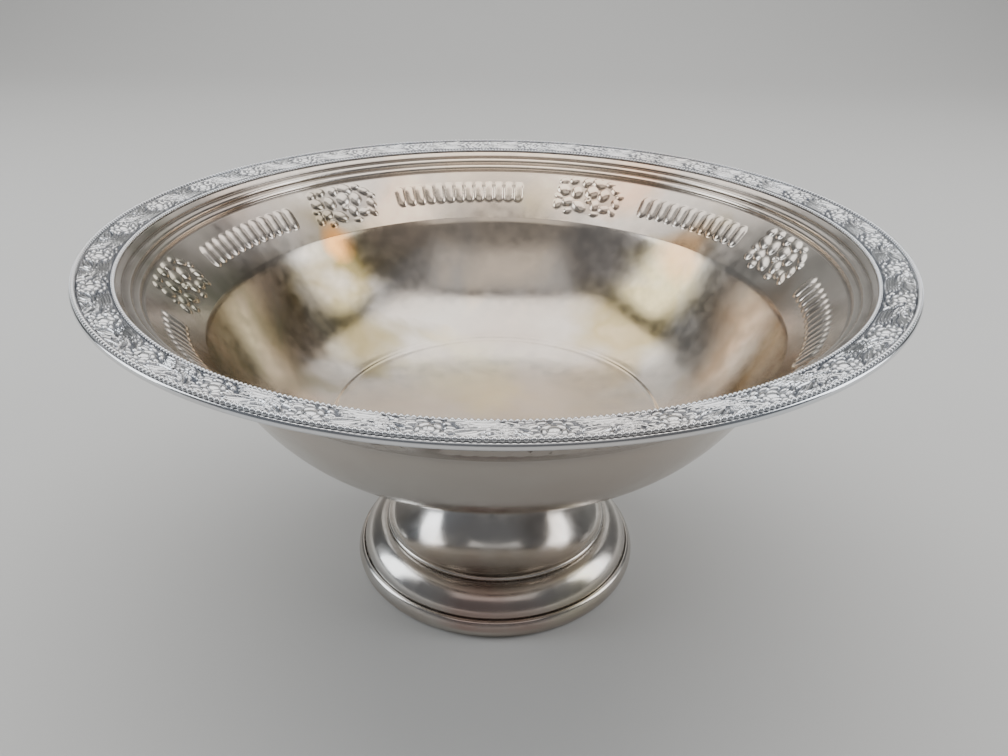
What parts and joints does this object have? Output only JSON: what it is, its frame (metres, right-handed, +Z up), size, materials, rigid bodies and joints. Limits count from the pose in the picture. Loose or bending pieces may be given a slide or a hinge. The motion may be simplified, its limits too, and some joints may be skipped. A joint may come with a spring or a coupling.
{
  "type": "footed compote bowl",
  "caption": "Wide footed compote bowl of silver-plated sheet with a beaded flower border, a fluted band, a trumpet stem and a domed round foot.",
  "frame": {"origin": "centre of the base ring, on the table", "axes": "+Z up along the bowl's axis; -Y towards the camera of the picture and +X to its right"},
  "size_m": [0.27, 0.27, 0.135],
  "materials": {
    "bowl_plate": "worn silver plate over brass sheet, polished, with warm toning in the well",
    "rim_plate": "silver plate, bright on the high points and dark in the recesses",
    "foot_plate": "polished silver plate, lightly toned",
    "solder": "dull grey solder"
  },
  "bodies": {
    "root": {"bowl_shell": "bowl_plate", "rim_edge_wire": "rim_plate", "rim_border_right": "rim_plate", "rim_border_back": "rim_plate", "rim_border_left": "rim_plate", "rim_border_front": "rim_plate", "outer_bead_wire": "rim_plate", "inner_bead_wire": "rim_plate", "stem_solder_ring": "solder", "stem_trumpet": "foot_plate", "foot_dome": "foot_plate", "foot_base_ring": "foot_plate"}
  },
  "joints": []
}
